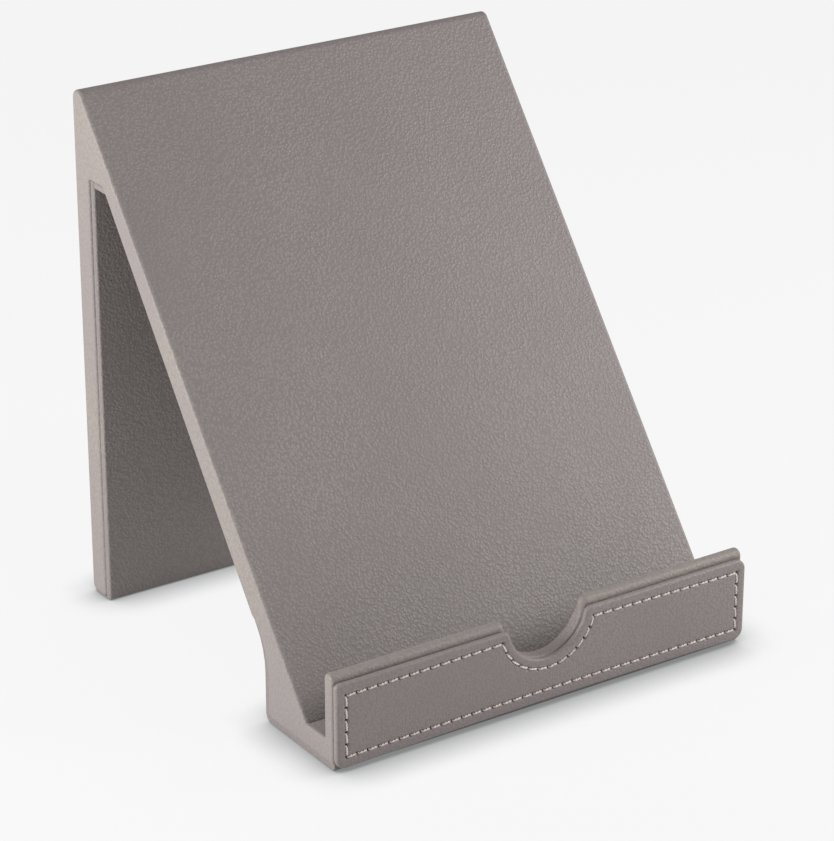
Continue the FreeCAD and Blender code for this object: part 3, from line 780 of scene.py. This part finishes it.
def stitchSections(inward):
    # the six runs of the stitch line, moved inward: bottom, right, top right, notch, top left, left
    end = stitchHalf - inward
    radius = lip["notch"] + facing["stitchNotch"] + inward
    innerHeight = facing["top"] - facing["stitchNotch"]
    outerHeight = facing["top"] - facing["stitchTopEnd"]
    innerX = math.sqrt((lip["notch"] + facing["stitchNotch"]) ** 2 - (notchUp - innerHeight) ** 2)

    def topAt(x):
        part = (abs(x) - innerX) / (stitchHalf - innerX)
        return innerHeight + (outerHeight - innerHeight) * part - inward

    x = innerX
    for repeat in range(20):
        x = math.sqrt(radius ** 2 - (notchUp - topAt(x)) ** 2)
    sweep = math.asin((notchUp - topAt(x)) / radius)
    bottom = [Vector((-end + 2 * end * k / 60, 0)) for k in range(61)]
    bottom = [Vector((p.x, bottomAt(p.x) + facing["stitchBottom"] + inward)) for p in bottom]
    corner = Vector((x, topAt(x)))
    arc = [Vector((radius * math.cos(a), notchUp - radius * math.sin(a)))
           for a in (sweep + (math.pi - 2 * sweep) * k / 60 for k in range(61))]
    right = Vector((end, topAt(end)))
    left = Vector((-end, topAt(end)))
    return [bottom, [bottom[-1], right], [right, corner], arc,
            [Vector((-corner.x, corner.y)), left], [left, bottom[0]]]


stitchCounts = []
for run in stitchSections(0):
    total = sum((b - a).length for a, b in zip(run, run[1:]))
    stitchCounts.append(round(total / facing["pitch"]))


def stitchRing(inward):
    ring = []
    for run, count in zip(stitchSections(inward), stitchCounts):
        ring += evenly(run, count * facing["perStitch"])
    return ring


def outlineRing():
    # the facing's edge in the same six runs, each from the middle of one rounded corner to the next
    half, top, r, e = halfWidth, facing["top"], facing["corner"], facing["endCorner"]
    shoulder = facing["shoulder"]
    reach = lip["notch"] + shoulder
    rise = notchUp - (top - shoulder)
    sx = math.sqrt(reach ** 2 - rise ** 2)
    low = math.asin(rise / reach)

    def arc(cx, cz, radius, start, end, steps=12):
        return [Vector((cx + radius * math.cos(start + (end - start) * k / steps),
                        cz + radius * math.sin(start + (end - start) * k / steps)))
                for k in range(steps + 1)]

    quarter = math.pi / 4
    f = facing["footCorner"]
    rightLow = bottomAt(half - f) + f
    leftLow = bottomAt(-half + f) + f
    span = [-half + f + (2 * half - 2 * f) * k / 60 for k in range(61)]
    bottom = arc(-half + f, leftLow, f, -3 * quarter, -2 * quarter)
    bottom += [Vector((x, bottomAt(x))) for x in span]
    bottom += arc(half - f, rightLow, f, -2 * quarter, -quarter)
    right = arc(half - f, rightLow, f, -quarter, 0) + arc(half - e, top - e, e, 0, quarter)
    shoulderMiddle = (math.pi / 2 + math.pi + low) / 2
    topRight = arc(half - e, top - e, e, quarter, 2 * quarter) + arc(sx, top - shoulder, shoulder,
                                                                     math.pi / 2, shoulderMiddle)
    notch = arc(sx, top - shoulder, shoulder, shoulderMiddle, math.pi - low)
    notch += arc(0, notchUp, lip["notch"], -low, -math.pi + low, 60)
    notch += arc(-sx, top - shoulder, shoulder, low, math.pi - shoulderMiddle)
    topLeft = arc(-sx, top - shoulder, shoulder, math.pi - shoulderMiddle, math.pi / 2)
    topLeft += arc(-half + r, top - r, r, 2 * quarter, 3 * quarter)
    left = arc(-half + r, top - r, r, 3 * quarter, 4 * quarter)
    left += arc(-half + f, leftLow, f, 4 * quarter, 5 * quarter)
    ring = []
    for run, count in zip((bottom, right, topRight, notch, topLeft, left), stitchCounts):
        tidy = [run[0]] + [b for a, b in zip(run, run[1:]) if (b - a).length > near / 4]
        ring += evenly(tidy, count * facing["perStitch"])
    return ring


def insetRing(ring, distance):
    moved = []
    for k, point in enumerate(ring):
        along = (ring[(k + 1) % len(ring)] - ring[k - 1]).normalized()
        moved.append(point + Vector((-along.y, along.x)) * distance)
    return moved


def placeRing(piece, ring, points, depths):
    # the corners of a ring are put on their outline, each at its depth behind the facing's front
    mesh = bmesh.from_edit_mesh(piece.data)
    mesh.verts.ensure_lookup_table()
    for index, point, depth in zip(ring, points, depths):
        mesh.verts[index].co = (point.x, facingFront + depth, point.y)
    bmesh.update_edit_mesh(piece.data)


def extrudeRing(piece, ring):
    # the open edge is extruded; each new corner is the one joined to its old corner
    bpy.ops.mesh.extrude_region_move()
    mesh = bmesh.from_edit_mesh(piece.data)
    mesh.verts.ensure_lookup_table()
    mesh.verts.index_update()
    grown = []
    for index in ring:
        old = mesh.verts[index]
        grown.append(next(e.other_vert(old) for e in old.link_edges if e.other_vert(old).select).index)
    return grown


def facingRings():
    # (points, depth) from the middle of the back, round the edge and in to the flat of the front
    edge = outlineRing()
    rim, back = facing["rim"], facing["backRim"]
    thick = lipFront - facingFront
    rings = [(insetRing(edge, leather), leather), (insetRing(edge, leather), thick)]
    for k in range(4):
        angle = math.pi / 2 * k / 3
        rings.append((insetRing(edge, back * (1 - math.sin(angle))), thick - back * (1 - math.cos(angle))))
    for k in range(6):
        angle = math.pi / 2 * k / 5
        rings.append((insetRing(edge, rim * (1 - math.cos(angle))), rim * (1 - math.sin(angle))))
    outer = insetRing(edge, rim)
    inner = stitchRing(facing["valley"][0][0] * mm)
    for part in (0.33, 0.66):
        rings.append(([a.lerp(b, part) for a, b in zip(outer, inner)], -facing["puff"]))
    return rings


def makeFacing():
    rings = facingRings()
    valleyStart = len(rings)
    for inward, depth in facing["valley"]:
        rings.append((stitchRing(inward * mm), depth * mm))
    perStitch = facing["perStitch"]
    stitchLine = stitchRing(0)
    holes = [stitchLine[k] for k in range(0, len(stitchLine), perStitch)]
    count = len(stitchLine)
    swellAt, swellWide = facing["swellAt"], facing["swellWide"]
    pickNone()
    bpy.ops.mesh.primitive_circle_add(vertices=count, radius=halfWidth, fill_type="NOTHING")
    piece = bpy.context.object
    piece.name = "facingLeather"
    bpy.ops.object.mode_set(mode="EDIT")
    bpy.ops.mesh.select_mode(type="VERT")
    bpy.ops.mesh.select_all(action="SELECT")
    ring = list(range(count))
    backRing = ring
    pierced = {}
    for number, (points, depth) in enumerate(rings):
        depths = [depth] * count
        if number:
            ring = extrudeRing(piece, ring)
        if valleyStart <= number < len(rings) - 2:
            for k, point in enumerate(points):
                away = (point - holes[round(k / perStitch) % len(holes)]).length
                pit = math.exp(-(away / facing["hole"]) ** 2)
                depths[k] += facing["holeDepth"] * pit
                depths[k] -= facing["swell"] * math.exp(-((away - swellAt) / swellWide) ** 2)
                pierced[ring[k]] = pit
        placeRing(piece, ring, points, depths)
    bpy.ops.mesh.edge_face_add()
    bpy.ops.mesh.select_all(action="DESELECT")
    mesh = bmesh.from_edit_mesh(piece.data)
    mesh.verts.ensure_lookup_table()
    for index in backRing:
        mesh.verts[index].select_set(True)
    mesh.select_flush(True)
    bmesh.update_edit_mesh(piece.data)
    bpy.ops.mesh.edge_face_add()
    faceOut()
    bpy.ops.object.mode_set(mode="OBJECT")
    # how near each corner of the mesh is to a needle hole, for the painted shade inside the holes
    nearness = piece.data.attributes.new("needleHole", "FLOAT", "POINT")
    for index, pit in pierced.items():
        nearness.data[index].value = pit
    finishPiece(piece, smoothLeather, "smooth_leather", "facing_leather", smoothAngle=60)
    return holes


needleHoles = makeFacing()
print("facing made")

# Thread: two plies twisted together, one stitch from each needle hole to the next.
thread = {
    "length": 4.15 * mm,
    "ply": 0.28 * mm,
    "lay": 0.6,                 # how far the plies lie from the thread's middle, in plies
    "twists": 1.5,
    "sides": 6,
    "steps": 12,
    "dip": 0.8 * mm,            # how deep each end goes down into its hole
    "dipPower": 6.0,
    "slant": math.radians(5),
    "sunk": 0.08 * mm,          # the stitches lie this far below the facing's front
}


def makeStitches(holes):
    # one stitch, bowed over from hole to hole, then a copy between each pair
    plies = []
    for turned in (0, math.pi):
        pickNone()
        bpy.ops.mesh.primitive_circle_add(vertices=thread["sides"], radius=thread["ply"],
                                          fill_type="NGON", rotation=(0, math.pi / 2, 0))
        ply = bpy.context.object
        bpy.ops.object.transform_apply(location=True, rotation=True, scale=True)
        bpy.ops.object.mode_set(mode="EDIT")
        bpy.ops.mesh.select_all(action="SELECT")
        last = None
        for step in range(thread["steps"] + 1):
            part = step / thread["steps"]
            angle = turned + part * thread["twists"] * 2 * math.pi
            arm = thread["ply"] * thread["lay"]
            sag = abs(2 * part - 1) ** thread["dipPower"] * thread["dip"]
            here = Vector(((part - 0.5) * thread["length"], sag + arm * math.sin(angle),
                           arm * math.cos(angle)))
            if last is None:
                bpy.ops.transform.translate(value=here)
            else:
                bpy.ops.mesh.extrude_region_move(TRANSFORM_OT_translate={"value": here - last})
            last = here
        faceOut()
        bpy.ops.object.mode_set(mode="OBJECT")
        plies.append(ply)
    pickNone()
    for ply in plies:
        ply.select_set(True)
    bpy.context.view_layer.objects.active = plies[0]
    bpy.ops.object.join()
    pattern = bpy.context.object
    copies = []
    lift = facingFront + thread["sunk"]
    for start, end in zip(holes, holes[1:] + holes[:1]):
        pickOnly(pattern)
        bpy.ops.object.duplicate()
        stitch = bpy.context.object
        middle = (start + end) / 2
        run = end - start
        stitch.location = (middle.x, lift, middle.y)
        stitch.rotation_euler = (0, -math.atan2(run.y, run.x) - thread["slant"], 0)
        stitch.scale.x = run.length / facing["pitch"]
        copies.append(stitch)
    pickOnly(pattern)
    bpy.ops.object.delete()
    for stitch in copies:
        stitch.select_set(True)
    bpy.context.view_layer.objects.active = copies[0]
    bpy.ops.object.transform_apply(location=True, rotation=True, scale=True)
    bpy.ops.object.join()
    bpy.ops.object.transform_apply(location=True, rotation=True, scale=True)
    stitching = bpy.context.object
    stitching.name = "facingStitching"
    finishPiece(stitching, sewingThread, "thread", "facing_stitching", smoothAngle=60)


makeStitches(needleHoles)
print("stitches sewn")

# Boards, blocks, dowels and pins stay as the frame has them.
keptNodes = {
    sandedFibreboard: ("panel_board", "leg_board", "base_board", "lip_board"),
    planedBeech: ("ridge_block", "foot_block", "ridge_dowels", "foot_dowels"),
    pressedGreyboard: ("leg_lining_board", "base_lining_board", "foot_lining_board", "facing_board"),
    zincPlatedSteel: ("panel_pins", "lip_pins"),
}
for material, names in keptNodes.items():
    for name in names:
        slots = frame["nodes"][name].data.materials
        slots.clear()
        slots.append(material)
print("inner pieces finished")

# Floor, light and camera.
studio = {
    "floorSize": 12,
    "fibre": 2 * mm,
    "lift": 1.02,               # strength of the floor's own light
    "paper": "#f5f5f5",
    "shade": "#858787",         # the floor where the object all but touches it
    "shadeReach": 22 * mm,
    "glow": 0.94,               # share of the floor's tone that it gives off itself, which thins shadows
    "world": 0.45,
    "key": 6.8,
    "keyFrom": (-0.74, 0.08, 0.31),
    "keyAt": (-0.10, 0.02, 0.12),
    "keySize": 0.40,
    "side": 4.8,
    "sideFrom": (0.60, -0.36, 0.42),
    "sideAt": (0.10, -0.05, 0.06),
    "sideSize": 0.35,
}


def makeFloor():
    pickNone()
    bpy.ops.mesh.primitive_plane_add(size=studio["floorSize"], location=(0, 0, -near))
    floor = bpy.context.object
    floor.name = "floor"
    # Paper sweep, matt and lit from below, with a soft shade close round whatever stands on it.
    material, tree, shader, place = newMaterial("paperSweep")
    fibre = addNode(tree, "ShaderNodeTexNoise", Vector=place, Scale=perMetre(studio["fibre"]), Detail=3.0)
    tone = addNode(tree, "ShaderNodeValToRGB", {"stops": ((0.3, "#f0f0f0"), (0.7, "#f2f2f2"))},
                   Fac=fibre.outputs["Fac"]).outputs[0]
    tree.links.new(tone, shader.inputs["Base Color"])
    shader.inputs["Roughness"].default_value = 0.9
    shader.inputs["Specular IOR Level"].default_value = 0.0
    reach = addNode(tree, "ShaderNodeAmbientOcclusion", {"samples": 16}, Distance=studio["shadeReach"])
    stops = ((0.3, studio["shade"]), (0.95, studio["paper"]))
    shaded = addNode(tree, "ShaderNodeValToRGB", {"stops": stops}, Fac=reach.outputs["AO"]).outputs[0]
    glow = addNode(tree, "ShaderNodeEmission", Color=shaded, Strength=studio["lift"])
    mixed = addNode(tree, "ShaderNodeMixShader", Fac=studio["glow"], in1=shader.outputs[0],
                    in2=glow.outputs[0])
    output = next(n for n in tree.nodes if n.type == "OUTPUT_MATERIAL")
    tree.links.new(mixed.outputs[0], output.inputs[0])
    floor.data.materials.append(material)


def addLight(name, kind, power, source, aim=(0, 0, 0)):
    pickNone()
    bpy.ops.object.light_add(type=kind, location=source)
    light = bpy.context.object
    light.name = name
    light.data.energy = power
    light.rotation_euler = (Vector(source) - Vector(aim)).to_track_quat("Z", "Y").to_euler()
    return light.data


makeFloor()
addLight("keyBox", "AREA", studio["key"], studio["keyFrom"], studio["keyAt"]).size = studio["keySize"]
addLight("sideBox", "AREA", studio["side"], studio["sideFrom"], studio["sideAt"]).size = studio["sideSize"]
world = bpy.data.worlds.new("studio")
bpy.context.scene.world = world
world.use_nodes = True
backdrop = next(n for n in world.node_tree.nodes if n.type == "BACKGROUND")
backdrop.inputs["Color"].default_value = toLinear(studio["paper"])
backdrop.inputs["Strength"].default_value = studio["world"]
bpy.context.scene.view_settings.view_transform = "Standard"

viewpoint = {
    "stand": (-0.69452, -1.03594, 0.63189),
    "look": (0.5119, 0.7611, -0.3986),
    "lens": 141.46,
    "sensor": 36,
}
bpy.ops.object.camera_add(location=viewpoint["stand"])
camera = bpy.context.object
camera.rotation_euler = Vector(viewpoint["look"]).to_track_quat("-Z", "Y").to_euler()
camera.data.lens = viewpoint["lens"]
camera.data.sensor_width = viewpoint["sensor"]
bpy.context.scene.camera = camera
print("floor, light and camera set")
